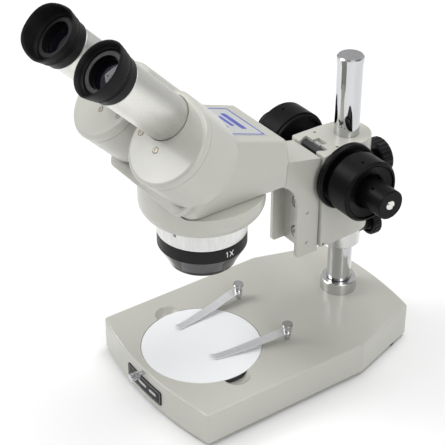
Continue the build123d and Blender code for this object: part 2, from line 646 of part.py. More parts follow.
def make_head():
    """Hollow casting with a sloping top, creased sides and a 45 degree front."""
    depth = PLATE_FACE + PLATE_THICK
    top = face_point(depth, ridge(depth))
    low = face_point(depth, FLARE_LOW)
    run = low.Z - HEAD_Z0
    outline = [(HEAD_REAR_Y, HEAD_Z0), (HEAD_REAR_Y, head_top(HEAD_REAR_Y)), (top.Y, top.Z)]
    outline += [(low.Y, low.Z), (low.Y + run, HEAD_Z0)]
    body = side_extrusion(outline, 45)
    lean = 0.12
    tall = 70.0
    w = HEAD_LOW_HALF_W
    section = Polyline((-w, 0), (w, 0), (w + lean * tall, tall), (-w - lean * tall, tall), close=True)
    body &= Pos(0, 80, HEAD_Z0) * extrude(Plane.XZ * make_face(section), 200)
    for side in (-1, 1):
        edge = (side * HEAD_TOP_HALF_W, TOP_REF_Y, TOP_REF_Z)
        shoulder = Plane(origin=edge, z_dir=(side, 0.26 * TOP_SLOPE, 0.26))
        body -= shoulder * Box(300, 300, 60, align=(Align.CENTER, Align.CENTER, Align.MIN))
    rear = [e for e in body.edges() if e.center().Y > 50 and e.center().Z > HEAD_Z0 + 2]
    upper = [e for e in body.edges() if abs(e.center().X) > 30 and e.length > 40]
    upper = [e for e in upper if abs(e.center().Z - head_top(e.center().Y)) < 0.5]
    body = fillet(rear + upper, 4.8)
    for side in SIDES.values():
        body -= corner_cutter(side)
    body += make_flare()
    cavity = [(50.0, HEAD_Z0 + 4), (50.0, head_top(50) - 4.5), (0, head_top(0) - 4.5), (-12, 224.0)]
    cavity += [(-47.0, 189.5), (-38.5, 183.0), (-32.0, HEAD_Z0 + 4)]
    body -= side_extrusion(cavity, 29.5)
    body -= rod(30.5, 170, 180, 0, BOWL_Y)
    for side in SIDES.values():
        body -= drum_plane(side) * pivot_rod(side, NUT_R + 1.3, HOUSING_BACK - 30, HOUSING_BACK + 10)
    return body


def make_front_plate():
    """Plate that carries both prism housings on turned seats."""
    top = ridge(PLATE_FACE) - 0.3
    points = [(-47, -38.3), (47, -38.3), (47, 6), (35.5, top), (-35.5, top), (-47, 6)]
    plan = make_face(Polyline(*points, close=True))
    plate = face_plane(PLATE_FACE) * extrude(plan, -PLATE_THICK + 0.02)
    short = [e for e in plate.edges() if e.length < PLATE_THICK + 0.5]
    corners = [e for e in short if abs(e.center().X) > 45 and e.center().Z < 200]
    plate = fillet(corners, CORNER_R)
    front = max(plate.faces(), key=lambda face: face.center().dot(FACE_N))
    plate = fillet(front.edges(), 1.8)
    rim = face_plane(PLATE_FACE) * extrude(plan, 4.0)
    for side in SIDES.values():
        plate += rim & (drum_plane(side) * rod(27.0, -46.0, HOUSING_BACK - 0.3))
        plate += drum_plane(side) * pivot_rod(side, 18.5, -46.0, HOUSING_BACK - 0.3)
        plate += drum_plane(side) * pivot_rod(side, NUT_R + 0.6, NUT_FACE, -44.0)
    for side in SIDES.values():
        plate -= drum_plane(side) * pivot_rod(side, JOURNAL_R + 0.06, -60, 0)
        plate -= drum_plane(side) * pivot_rod(side, NUT_R + 0.6, -60, NUT_FACE)
    return plate


def make_label():
    """Thin plain label on the top face."""
    plane = Plane(origin=(0, TOP_REF_Y, TOP_REF_Z), x_dir=(1, 0, 0), z_dir=(0, TOP_SLOPE, 1))
    return plane * (Pos(0, 0, 0.15) * Box(50.0, 35.4, 0.28))


# ---- prism housings and eyepieces ---------------------------------------------------
def egg(inset, side):
    """Outline of a prism housing: a large circle joined to a smaller one round the tube."""
    big = Circle(DRUM_R - inset)
    small = Pos(-side * TUBE_IN, TUBE_UP) * Circle(NECK_R - inset)
    return make_hull([*big.edges(), *small.edges()])


def layer(face, z0, z1):
    """Prism from a plan between two heights."""
    return Pos(0, 0, z0) * extrude(face, z1 - z0)


def tube_rod(side, radius, z0, z1):
    """Cylinder on the eyepiece tube's axis, in a drum's own frame."""
    return rod(radius, z0, z1, -side * TUBE_IN, TUBE_UP)


def cover_screw_places(side):
    """Screw centres on either side of the swivel axis."""
    return [(side * x, y) for x, y in COVER_SCREWS]


def make_housing(side):
    """Prism housing: shell with a floor and a journal that turns in the front plate."""
    top = -COVER_T - 0.25
    body = layer(egg(0.0, side), HOUSING_BACK, top)
    body = fillet(body.faces().sort_by(Axis.Z)[0].edges(), 1.2)
    body -= layer(egg(2.6, side), HOUSING_BACK + 4.0, top + 1)
    body += pivot_rod(side, JOURNAL_R, -53.2, HOUSING_BACK + 0.5)
    body -= pivot_rod(side, JOURNAL_R - 2.5, -60, HOUSING_BACK + 5)
    for x, y in cover_screw_places(side):
        body += rod(2.5, HOUSING_BACK + 3.5, top, x, y)
    for x, y in cover_screw_places(side):
        body -= rod(1.25, top - 9, top + 1, x, y)
    return drum_plane(side) * body


def make_cover(side):
    """Front cover of a prism housing, bored for the eyepiece tube."""
    body = layer(egg(0.0, side), -COVER_T, 0)
    body = fillet(body.faces().sort_by(Axis.Z)[-1].edges(), 2.8)
    body -= tube_rod(side, TUBE_R + COVER_GAP, -COVER_T - 1, 1)
    for x, y in cover_screw_places(side):
        body -= rod(1.6, -COVER_T - 1, 1, x, y)
        body -= rod(2.5, -1.6, 1, x, y)
    return drum_plane(side) * body


def make_cover_screws(side):
    """Pan-head screws of a cover."""
    screw = rod(2.3, -1.55, 0.35) + rod(1.2, -COVER_T - 6, -1.5)
    screw = chamfer(screw.edges().filter_by(GeomType.CIRCLE).sort_by(Axis.Z)[-1], 0.5)
    screw -= block(-1.5, 1.5, -0.25, 0.25, -0.4, 1) + block(-0.25, 0.25, -1.5, 1.5, -0.4, 1)
    places = cover_screw_places(side)
    return Compound([drum_plane(side) * Pos(x, y, 0) * screw for x, y in places])


def make_prism(side):
    """Rhomboid glass prism that carries the light from the swivel axis to the tube axis."""
    across = side * (PIVOT_IN - TUBE_IN)
    up = TUBE_UP + PIVOT_DOWN
    shift = math.hypot(across, up)
    half = 7.3
    z0 = HOUSING_BACK + 4.05
    z1 = z0 + 2 * half
    outline = [(-half, z0), (shift - half, z0), (shift + half, z1), (half, z1)]
    prism = Plane.XZ * make_face(Polyline(*outline, close=True))
    solid = extrude(prism, half, both=True)
    turn = math.degrees(math.atan2(up, across))
    return drum_plane(side) * Pos(-side * PIVOT_IN, -PIVOT_DOWN, 0) * Rot(0, 0, turn) * solid


def make_ring_nut(side):
    """Ring nut that keeps a housing's journal in the front plate."""
    nut = rod(NUT_R, NUT_FACE - 3.6, NUT_FACE - 0.3) - rod(JOURNAL_R + 0.02, -60, -40)
    for angle in (0, 90, 180, 270):
        nut -= Rot(0, 0, angle) * block(NUT_R - 1.4, NUT_R + 1, -1.5, 1.5, -60, -40)
    return drum_plane(side) * Pos(-side * PIVOT_IN, -PIVOT_DOWN, 0) * nut


def make_tube(side):
    """Eyepiece tube with a flange behind the cover."""
    body = tube_rod(side, TUBE_R, -COVER_T - 0.2, TUBE_LEN)
    body = chamfer(body.edges().filter_by(GeomType.CIRCLE).sort_by(Axis.Z)[-1], 0.6)
    body += tube_rod(side, TUBE_R + 1.4, -COVER_T - 2.7, -COVER_T - 0.22)
    return drum_plane(side) * (body - tube_rod(side, EYEPIECE_BORE_R, -20, 80))


EYE_Z = TUBE_LEN + 0.3


def make_barrel(side):
    """Eyepiece: barrel in the tube, shoulder outside it, lens seats inside."""
    r = EYEPIECE_BORE_R - 0.05
    profile = [(12.6, 32.0), (r, 32.0), (r, EYE_Z), (17.3, EYE_Z), (17.8, EYE_Z + 1.0), (18.2, EYE_Z + 6.6)]
    profile += [(16.4, EYE_Z + 6.6), (16.4, EYE_Z + 11.2), (15.0, EYE_Z + 12.0), (12.2, EYE_Z + 12.0)]
    profile += [(12.2, EYE_Z + 7.6), (11.2, EYE_Z + 7.6), (11.2, EYE_Z + 4.0), (12.6, EYE_Z + 4.0)]
    return drum_plane(side) * Pos(-side * TUBE_IN, TUBE_UP, 0) * turned(profile)


def make_eyecup(side):
    """Rubber eyecup, higher on the temple side."""
    z0 = EYE_Z + 6.9
    profile = [(16.75, z0), (18.6, z0), (19.4, z0 + 1.2), (19.4, z0 + 3.4), (20.0, z0 + 4.0)]
    profile += [(20.0, z0 + 6.6), (20.6, z0 + 7.4), (21.0, z0 + 18.5), (19.2, z0 + 18.5)]
    profile += [(18.4, z0 + 9.0), (17.0, z0 + 5.0), (16.75, z0 + 4.2)]
    cup = turned(profile)
    nasal_rim = z0 + 9.4
    slope = math.radians(15.7)
    lean = Plane(origin=(-side * 6.0, 0, nasal_rim), z_dir=(-side * math.sin(slope), 0, math.cos(slope)))
    above = lean * Box(200, 200, 60, align=(Align.CENTER, Align.CENTER, Align.MIN))
    cup -= above & block(-60, 60, -60, 60, nasal_rim, nasal_rim + 60)
    return drum_plane(side) * Pos(-side * TUBE_IN, TUBE_UP, 0) * cup


def lens(radius, z0, thick, bulge):
    """Round lens with one domed face."""
    dome_r = (radius**2 + bulge**2) / (2 * bulge)
    dome = Pos(0, 0, z0 + thick + bulge - dome_r) * Sphere(dome_r)
    return rod(radius, z0, z0 + thick + bulge) & dome


def make_eyepiece_lenses(side):
    """Eye lens and field lens of one eyepiece."""
    eye = lens(11.1, EYE_Z + 4.3, 2.2, 1.0)
    field = lens(12.5, 33.5, 3.0, 1.6)
    place = drum_plane(side) * Pos(-side * TUBE_IN, TUBE_UP, 0)
    return Compound([place * eye, place * field])


# ---- objective ----------------------------------------------------------------------
def make_bowl():
    """Fixed bowl under the head; its front wall rises to meet the front plate."""
    z1 = HEAD_Z0 - 0.6
    curve = ThreePointArc((TURRET_R + 0.3, BOWL_Z0), (43.6, 156.2), (BOWL_R, 165.0))
    rest = Polyline((BOWL_R, 165.0), (BOWL_R, z1), (0, z1), (0, BOWL_Z0), (TURRET_R + 0.3, BOWL_Z0))
    outside = revolve(Plane.XZ * make_face(Wire([*curve.edges(), *rest.edges()])), Axis.Z)
    inside = turned([(0, 155.6), (38.6, 155.6), (43.0, 162.5), (43.6, 168.6), (0, 168.6)])
    bowl = Pos(0, BOWL_Y, 0) * (outside - inside)
    low = face_point(PLATE_FACE + PLATE_THICK, FLARE_LOW)
    rear_y = low.Y + (low.Z - HEAD_Z0)
    riser = rod(BOWL_R, z1 - 0.1, low.Z - 0.6, 0, BOWL_Y) - rod(BOWL_R - 4.0, 160, 200, 0, BOWL_Y)
    wedge = [(rear_y - 0.5, z1 - 0.2), (low.Y - 0.6, low.Z - 0.7)]
    wedge += [(low.Y - 20, low.Z - 0.7), (low.Y - 20, z1 - 0.2)]
    bowl += riser & side_extrusion(wedge, 60)
    bowl -= rod(31.0, 160, 200, 0, BOWL_Y)
    bowl -= rod(30.55, 150, 160, 0, BOWL_Y)
    bowl += rod(35.5, z1 - 0.1, HEAD_Z0 - 0.02, 0, BOWL_Y) - rod(31.0, 160, 200, 0, BOWL_Y)
    return bowl


def make_head_prisms():
    """Prism behind each objective beam, turning it from vertical to the eyepiece tilt."""
    outline = [(-8.5, 177.6), (11.5, 177.6), (11.5, 181.0), (-2.6, 195.2), (-8.5, 189.3)]
    prism = side_extrusion(outline, 8.0)
    return Compound([Pos(side * HEAD_PRISM_X, BOWL_Y, 0) * prism for side in (-1, 1)])


def make_turret_ring():
    """Knurled ring with a neck and a flange that turn in the bowl's lip."""
    profile = [(29.0, 137.2), (TURRET_R, 137.2), (TURRET_R, 151.9), (30.5, 151.9), (30.5, 155.9)]
    profile += [(37.6, 155.9), (37.6, 158.6), (29.0, 158.6)]
    ring = turned(profile)
    ring -= Rot(0, 0, -112) * rod_x(1.2, TURRET_R - 2.5, TURRET_R + 1, 0, 145.5)
    return Pos(0, BOWL_Y, 0) * ring


LENS_PLACES = [(12.0, 0, 8.6), (-12.0, 0, 8.6), (0, 15.6, 6.6), (0, -15.6, 6.6)]


def make_lens_carrier():
    """Disc with two pairs of lens seats, one pair for each magnification."""
    disc = rod(28.95, 139.0, 149.0)
    for x, y, r in LENS_PLACES:
        disc -= rod(r + 0.05, 140.5, 150, x, y)
        disc -= rod(r - 1.2, 130, 150, x, y)
    return Pos(0, BOWL_Y, 0) * disc


def make_objective_lenses():
    """Four objective lenses and the window in the nose, one solid each."""
    solids = [Pos(x, y, 0) * lens(r, 140.55, 4.0, 1.2) for x, y, r in LENS_PLACES]
    solids.append(rod(19.9, 112.05, 114.1))
    return Compound([Pos(0, BOWL_Y, 0) * s for s in solids])


def make_sleeve():
    """Matt black band below the knurled ring."""
    profile = [(31.0, 126.3), (NOSE_R, 126.3), (NOSE_R, 136.6), (NOSE_R - 0.4, 137.0), (31.0, 137.0)]
    return Pos(0, BOWL_Y, 0) * turned(profile)


def make_nose():
    """Gloss black cone with a window seat."""
    profile = [(NOSE_R, 126.2), (26.6, 113.0), (25.6, 110.2), (23.4, 108.7), (18.5, 108.7)]
    profile += [(18.5, 112.0), (20.0, 112.0), (20.0, 114.6), (24.0, 114.6), (30.9, 126.2)]
    return Pos(0, BOWL_Y, 0) * turned(profile)


# ---- write every piece --------------------------------------------------------------
def main():
    os.makedirs("parts", exist_ok=True)
    save("base_casting", make_base())
    save("rubber_feet", make_feet())
    save("foot_screws", make_foot_screws())
    save("badge_plate", make_badge())
    save("stage_plate", make_stage_plate())
    save("stage_lock_screw", make_lock_screw())
    save("clip_posts", make_clip_posts())
    save("pole_flange", make_flange())
    save("pole", make_pole())
    save("pole_cap", make_pole_cap())
    save("pole_bolt", make_pole_bolt())
    save("safety_collar", make_collar())
    save("collar_knob", make_collar_knob())
    save("collar_stud", make_collar_stud())
    save("focus_block", make_focus_block())
    save("clamp_knob", make_clamp_knob())
    save("clamp_stud", make_clamp_stud())
    save("bearing_hubs", make_bearing_hubs())
    save("tension_ring", make_tension_ring())
    save("pinion_shaft", make_pinion_shaft())
    save("fine_shaft", make_fine_shaft())
    save("fine_knob_screws", make_fine_screws())
    save("slide", cut_screw_holes(make_slide()))
    save("rack", make_rack())
    save("arm", make_arm())
    save("arm_screws", make_arm_screws())
    save("head_casting", make_head())
    save("front_plate", make_front_plate())
    save("top_label", make_label())
    save("objective_bowl", make_bowl())
    save("head_prisms", make_head_prisms())
    save("turret_ring", make_turret_ring())
    save("lens_carrier", make_lens_carrier())
    save("objective_lenses", make_objective_lenses())
    save("objective_sleeve", make_sleeve())
    save("objective_nose", make_nose())
    for name, side in SIDES.items():
        save("clip_leaf_" + name, make_leaf(side))
        save("coarse_knob_" + name, make_coarse_knob(side))
        save("fine_knob_" + name, make_fine_knob(side))
        save("prism_housing_" + name, make_housing(side))
        save("housing_cover_" + name, make_cover(side))
        save("cover_screws_" + name, make_cover_screws(side))
        save("prism_" + name, make_prism(side))
        save("ring_nut_" + name, make_ring_nut(side))
        save("eyepiece_tube_" + name, make_tube(side))
        save("eyepiece_" + name, make_barrel(side))
        save("eyecup_" + name, make_eyecup(side))
        save("eyepiece_lenses_" + name, make_eyepiece_lenses(side))


main()
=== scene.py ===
import math

import bmesh
import bpy
from mathutils import Matrix, Vector


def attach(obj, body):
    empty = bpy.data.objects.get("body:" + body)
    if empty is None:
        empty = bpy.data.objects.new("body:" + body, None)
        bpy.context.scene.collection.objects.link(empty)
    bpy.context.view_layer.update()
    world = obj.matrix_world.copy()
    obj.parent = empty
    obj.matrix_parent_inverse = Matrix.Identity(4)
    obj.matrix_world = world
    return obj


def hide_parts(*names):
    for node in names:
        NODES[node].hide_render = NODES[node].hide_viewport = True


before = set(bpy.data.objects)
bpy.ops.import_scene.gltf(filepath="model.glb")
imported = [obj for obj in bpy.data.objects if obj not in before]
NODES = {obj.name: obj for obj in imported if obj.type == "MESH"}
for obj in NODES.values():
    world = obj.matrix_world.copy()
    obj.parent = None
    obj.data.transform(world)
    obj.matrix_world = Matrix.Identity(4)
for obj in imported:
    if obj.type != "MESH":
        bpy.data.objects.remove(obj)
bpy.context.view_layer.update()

# Stage frame: x = y = 0 on the objective's axis, z = 0 under the base casting, millimetres.
AXIS_Y = -32.19
FOOT_DROP = 4.0
MM = 0.001
TUBE_TILT = math.radians(45.26)
TOE_OUT = math.radians(3.72)
TURRET_Y = 1.6
DRUM = (38.7, -52.9, 245.6)
TUBE_IN = 12.0
TUBE_UP = 13.8
SIDES = {"right": 1, "left": -1}


def place(x, y, z):
    """A stage-frame point in millimetres as a row-frame point in metres."""
    return Vector((x * MM, (y + AXIS_Y) * MM, (z + FOOT_DROP) * MM))


# ---- materials --------------------------------------------------------------------------
class Shader:
    """A material's node tree with one Principled shader and a few helpers."""

    def __init__(self, name, color, rough, metal=0.0, **sockets):
        self.mat = bpy.data.materials.new(name)
        self.mat.use_nodes = True
        self.tree = self.mat.node_tree
        self.bsdf = self.tree.nodes["Principled BSDF"]
        self.set("Base Color", (*color, 1.0))
        self.set("Roughness", rough)
        self.set("Metallic", metal)
        for key, value in sockets.items():
            self.set(key.replace("_", " "), value)
        self.coords = self.tree.nodes.new("ShaderNodeTexCoord").outputs["Object"]
        self.height = None

    def set(self, socket, value):
        self.bsdf.inputs[socket].default_value = value

    def node(self, kind, **values):
        made = self.tree.nodes.new(kind)
        for key, value in values.items():
            if hasattr(made, key):
                setattr(made, key, value)
            else:
                made.inputs[key.replace("_", " ")].default_value = value
        return made

    def link(self, out, into):
        self.tree.links.new(out, into)

    def noise(self, scale, detail=2.0, stretch=(1, 1, 1), rough=0.5):
        mapping = self.node("ShaderNodeMapping")
        mapping.inputs["Scale"].default_value = stretch
        self.link(self.coords, mapping.inputs["Vector"])
        noise = self.node("ShaderNodeTexNoise", Scale=scale, Detail=detail, Roughness=rough)
        self.link(mapping.outputs[0], noise.inputs["Vector"])
        return noise.outputs["Fac"]

    def ramp(self, value, stops):
        ramp = self.node("ShaderNodeValToRGB")
        band = ramp.color_ramp
        while len(band.elements) < len(stops):
            band.elements.new(0.5)
        for element, (at, color) in zip(band.elements, stops):
            element.position = at
            element.color = (*color, 1.0) if len(color) == 3 else color
        self.link(value, ramp.inputs["Fac"])
        return ramp.outputs["Color"]

    def span(self, value, low, high, from_low=0.3, from_high=0.7):
        ranged = self.node("ShaderNodeMapRange")
        ranged.inputs["From Min"].default_value = from_low
        ranged.inputs["From Max"].default_value = from_high
        ranged.inputs["To Min"].default_value = low
        ranged.inputs["To Max"].default_value = high
        self.link(value, ranged.inputs["Value"])
        return ranged.outputs["Result"]

    def bump(self, value, depth, strength=1.0):
        bump = self.node("ShaderNodeBump", Strength=strength, Distance=depth)
        self.link(value, bump.inputs["Height"])
        if self.height is not None:
            self.link(self.height, bump.inputs["Normal"])
        self.height = bump.outputs["Normal"]
        self.link(self.height, self.bsdf.inputs["Normal"])
        return self

    def vary_color(self, value, low, high):
        self.link(self.ramp(value, [(0.3, low), (0.7, high)]), self.bsdf.inputs["Base Color"])
        return self

    def vary_rough(self, value, low, high):
        self.link(self.span(value, low, high), self.bsdf.inputs["Roughness"])
        return self


def shade(color, factor):
    return tuple(min(1.0, c * factor) for c in color)


def paint(name, color):
    """Sprayed enamel: fine orange peel, faint cloudiness, satin clear surface."""
    s = Shader(name, color, 0.34, Coat_Weight=0.3, Coat_Roughness=0.16)
    s.vary_color(s.noise(9.0, 3.0), shade(color, 0.97), shade(color, 1.02))
    s.vary_rough(s.noise(60.0, 3.0), 0.3, 0.39)
    s.bump(s.noise(900.0, 2.0), 0.00002, 0.35)
    s.bump(s.noise(240.0, 1.0), 0.00004, 0.2)
    return s.mat


def metal(name, color, low, high, grain=(1, 1, 1), scale=900.0, depth=0.000004):
    """Bare metal with a grain that can be stretched along one way."""
    s = Shader(name, color, (low + high) / 2, 1.0)
    s.vary_color(s.noise(scale * 0.4, 4.0, grain), shade(color, 0.94), shade(color, 1.04))
    s.vary_rough(s.noise(scale, 3.0, grain), low, high)
    s.bump(s.noise(scale, 3.0, grain), depth, 0.5)
    return s.mat


def black(name, color, low, high, scale=1400.0, depth=0.00001, coat=0.0, spec=0.5):
    """Black finish with fine tooth and faint handling marks."""
    middle = (low + high) / 2
    s = Shader(name, color, middle, Coat_Weight=coat, Coat_Roughness=0.12, Specular_IOR_Level=spec)
    s.vary_color(s.noise(70.0, 4.0), shade(color, 0.8), shade(color, 1.35))
    s.vary_rough(s.noise(120.0, 4.0), low, high)
    s.bump(s.noise(scale, 2.0), depth, 0.5)
    return s.mat


def optics(name, tint, coating, ior, coat):
    """Coated glass; its body colour tints the light passing through it, near white for the prisms and near
    black as painted shade for the lenses.
    """
    s = Shader(name, tint, 0.02, Transmission_Weight=0.9, IOR=ior, Coat_Weight=coat, Coat_Roughness=0.02)
    s.set("Coat Tint", (*coating, 1.0))
    s.vary_rough(s.noise(40.0, 2.0), 0.012, 0.035)
    return s.mat


PLATE_WHITE = (0.82, 0.83, 0.84)
PLATE_BLACK = (0.02, 0.02, 0.022)
PLATE_TOP = 26.8
PLATE_FACE_DEPTH = 0.55
PLATE_FADE = 0.00005


def stage_plate_material():
    """White upper face, black rim and underside."""
    s = Shader("stage_plate_white", PLATE_WHITE, 0.42)
    split = s.node("ShaderNodeSeparateXYZ")
    s.link(s.coords, split.inputs[0])
    edge = (PLATE_TOP - PLATE_FACE_DEPTH + FOOT_DROP) * MM
    height = s.span(split.outputs["Z"], 0.0, 1.0, edge - PLATE_FADE, edge + PLATE_FADE)
    color = s.ramp(height, [(0.45, PLATE_BLACK), (0.55, PLATE_WHITE)])
    s.link(color, s.bsdf.inputs["Base Color"])
    s.vary_rough(s.noise(150.0, 4.0), 0.38, 0.5)
    s.bump(s.noise(1500.0, 2.0), 0.000006, 0.5)
    return s.mat


PAINT = (0.485, 0.483, 0.437)
M = {
    "paint": paint("enamel_warm_grey", PAINT),
    "chrome": metal("chrome_polished", (0.60, 0.605, 0.615), 0.04, 0.09, (1, 1, 0.15), 300.0, 0.000001),
    "steel": metal("steel_satin", (0.88, 0.88, 0.89), 0.3, 0.4, (1, 6, 1), 500.0, 0.0000008),
    "alu": metal("aluminium_satin", (0.75, 0.745, 0.71), 0.33, 0.42, (1, 1, 1), 2400.0),
    "turned": metal("aluminium_turned", (0.66, 0.66, 0.65), 0.2, 0.27, (1, 1, 12), 900.0, 0.0000006),
    "knurl": metal("aluminium_knurled", (0.72, 0.72, 0.71), 0.3, 0.38, (1, 1, 0.2), 900.0, 0.0000006),
    "rack": metal("rack_steel", (0.72, 0.72, 0.70), 0.3, 0.4, (8, 1, 1), 700.0),
    "nickel": metal("nickel_plated", (0.40, 0.36, 0.31), 0.36, 0.48, (1, 1, 1), 1600.0),
    "bright": metal("screw_bright", (0.74, 0.73, 0.71), 0.14, 0.24, (1, 1, 1), 1600.0),
    "gunmetal": black("slide_blacked", (0.022, 0.022, 0.024), 0.4, 0.55),
    "knob": black("knob_black_satin", (0.003, 0.003, 0.0035), 0.34, 0.46, 1800.0, 0.000008, spec=0.12),
    "plastic": black("moulded_black", (0.004, 0.004, 0.0045), 0.28, 0.4, 1100.0, 0.000012, spec=0.22),
    "matt": black("sleeve_matt_black", (0.005, 0.005, 0.0055), 0.36, 0.5, 2000.0, 0.000008, spec=0.22),
    "gloss": black("nose_gloss_black", (0.004, 0.004, 0.005), 0.08, 0.14, 500.0, 0.000003, 0.3, 0.4),
    "rubber": black("rubber_black", (0.004, 0.004, 0.0045), 0.42, 0.56, 1500.0, 0.00002, spec=0.14),
    # Lens glass: the near-black body colour is painted shade for the dark inside of the tubes seen through
    # the lenses; the violet coating tint is the coating's own.
    "glass": optics("glass_coated_painted_dark", (0.03, 0.025, 0.05), (0.55, 0.45, 1.0), 1.3, 0.04),
    "prism": optics("glass_prism", (0.96, 0.98, 0.97), (0.9, 0.9, 1.0), 1.52, 0.5),
    "plate": stage_plate_material(),
    "label": paint("label_film", (0.50, 0.51, 0.50)),
    "ink": black("ink_blue", (0.055, 0.075, 0.36), 0.3, 0.4, 900.0, 0.000002),
    "badge": black("badge_black", (0.004, 0.004, 0.005), 0.3, 0.4, 700.0, 0.000002, spec=0.2),
    "silver": metal("print_silver", (0.55, 0.55, 0.55), 0.3, 0.42, (1, 1, 1), 1400.0),
    "white": black("print_white", (0.72, 0.72, 0.70), 0.35, 0.45, 900.0, 0.000001),
}

FINISH = {
    "paint": ["base_casting", "focus_block", "arm", "head_casting", "front_plate", "objective_bowl"],
    "chrome": ["pole", "pole_cap", "clip_posts", "stage_lock_screw"],
    "steel": ["foot_screws", "pole_bolt", "collar_stud", "clamp_stud", "pinion_shaft", "fine_shaft"],
    "bright": ["fine_knob_screws"],
    "turned": ["safety_collar", "pole_flange"],
    "knob": ["coarse_knob_left", "coarse_knob_right", "fine_knob_left", "fine_knob_right", "tension_ring"],
    "plastic": ["clamp_knob", "collar_knob"],
    "matt": ["objective_sleeve", "bearing_hubs", "lens_carrier"],
    "gloss": ["objective_nose"],
    "gunmetal": ["slide"],
    "rack": ["rack"],
    "nickel": ["arm_screws"],
    "rubber": ["rubber_feet"],
    "glass": ["objective_lenses"],
    "prism": ["head_prisms"],
    "plate": ["stage_plate"],
    "label": ["top_label"],
    "badge": ["badge_plate"],
    "knurl": ["turret_ring"],
}
for side_name in SIDES:
    FINISH["paint"] += ["prism_housing_" + side_name, "housing_cover_" + side_name]
    FINISH["nickel"] += ["cover_screws_" + side_name]
    FINISH["prism"] += ["prism_" + side_name]
    FINISH["steel"] += ["ring_nut_" + side_name, "clip_leaf_" + side_name]
    FINISH.setdefault("alu", []).append("eyepiece_tube_" + side_name)
    FINISH["matt"] += ["eyepiece_" + side_name]
    FINISH["glass"] += ["eyepiece_lenses_" + side_name]
    FINISH["rubber"] += ["eyecup_" + side_name]
for finish, names in FINISH.items():
    for node_name in names:
        mesh = NODES[node_name].data
        mesh.materials.clear()
        mesh.materials.append(M[finish])


# ---- mesh helpers -----------------------------------------------------------------------
def make_piece(name, bm, material, body, replaces=None, smooth=True, angle=35.0):
    """Turns a bmesh in row-frame metres into a piece that rides on a body."""
    bmesh.ops.recalc_face_normals(bm, faces=bm.faces)
    mesh = bpy.data.meshes.new(name)
    bm.to_mesh(mesh)
    bm.free()
    if smooth:
        mesh.shade_smooth()
        mesh.set_sharp_from_angle(angle=math.radians(angle))
    mesh.materials.append(M[material])
    piece = bpy.data.objects.new(name, mesh)
    bpy.context.scene.collection.objects.link(piece)
    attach(piece, body)
    if replaces:
        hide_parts(*replaces)
    return piece


def lathe(rings, steps, matrix, warp=None):
    """Closed band of rings about local Z. rings are (radius, height); warp may move a point."""
    bm = bmesh.new()
    loops = []
    for index, (radius, height) in enumerate(rings):
        loop = []
        for k in range(steps):
            a = 2 * math.pi * k / steps
            r, h = (radius, height) if warp is None else warp(index, radius, height, a, k)
            loop.append(bm.verts.new(matrix @ Vector((r * math.cos(a) * MM, r * math.sin(a) * MM, h * MM))))
        loops.append(loop)
    for i in range(len(loops)):
        low, high = loops[i], loops[(i + 1) % len(loops)]
        for k in range(steps):
            j = (k + 1) % steps
            bm.faces.new((low[k], low[j], high[j], high[k]))
    return bm


def drum_matrix(side):
    """Local frame on a prism housing's cover, moved to the eyepiece tube's axis."""
    sin_toe = side * math.sin(TOE_OUT)
    z = Vector((sin_toe, -math.cos(TOE_OUT) * math.cos(TUBE_TILT), math.cos(TOE_OUT) * math.sin(TUBE_TILT)))
    x = Vector((math.cos(TOE_OUT), sin_toe * math.cos(TUBE_TILT), -sin_toe * math.sin(TUBE_TILT)))
    y = z.cross(x)
    m = Matrix((x, y, z)).transposed().to_4x4()
    origin = place(side * DRUM[0], DRUM[1], DRUM[2]) + (x * -side * TUBE_IN + y * TUBE_UP) * MM
    m.translation = origin
    return m


# ---- eyecups ----------------------------------------------------------------------------
EYE_Z = 58.3
CUP_Z = EYE_Z + 6.9


def smooth_step(t):
    t = min(1.0, max(0.0, t))
    return t * t * (3 - 2 * t)


def eyecup(side_name, side):
    """Folded rubber cup with grooves at its root and a wing on the temple side."""
    outer = [(16.8, 0.0), (17.9, -0.05), (18.6, 0.15), (19.0, 0.7), (19.1, 1.5), (18.7, 1.9), (18.7, 2.2)]
    outer += [(19.3, 2.6), (19.5, 3.3), (19.1, 3.8), (19.1, 4.1), (19.8, 4.5), (20.1, 5.4), (20.3, 6.6)]
    wall = [(20.45, 0.0), (20.6, 0.25), (20.75, 0.5), (20.9, 0.75), (20.95, 0.93)]
    lip = [(20.8, 0.985), (20.4, 1.0), (19.9, 0.985), (19.55, 0.93)]
    inner_wall = [(19.3, 0.75), (19.0, 0.5), (18.6, 0.25), (18.3, 0.0)]
    inner = [(18.0, 6.2), (17.5, 5.4), (17.1, 4.9), (16.8, 4.6), (16.8, 2.4)]
    base = 7.2
    rings = outer + wall + lip + inner_wall + inner
    first = len(outer)
    last = first + len(wall) + len(lip) + len(inner_wall)

    def rim(a):
        toward = side * math.cos(a)
        return 9.5 + 7.6 * smooth_step((toward + 0.15) / 1.15)

    def warp(index, radius, height, a, k):
        if first <= index < last:
            top = rim(a)
            h = base + (top - base) * height
            flare = 0.6 * smooth_step((top - 9.5) / 7.6) * height
            return radius + flare, CUP_Z + h
        return radius, CUP_Z + height

    bm = lathe(rings, 96, drum_matrix(side), warp)
    make_piece("eyecup_rubber_" + side_name, bm, "rubber", "eyecup_" + side_name,
               ["eyecup_" + side_name], angle=50.0)


for side_name, side in SIDES.items():
    eyecup(side_name, side)


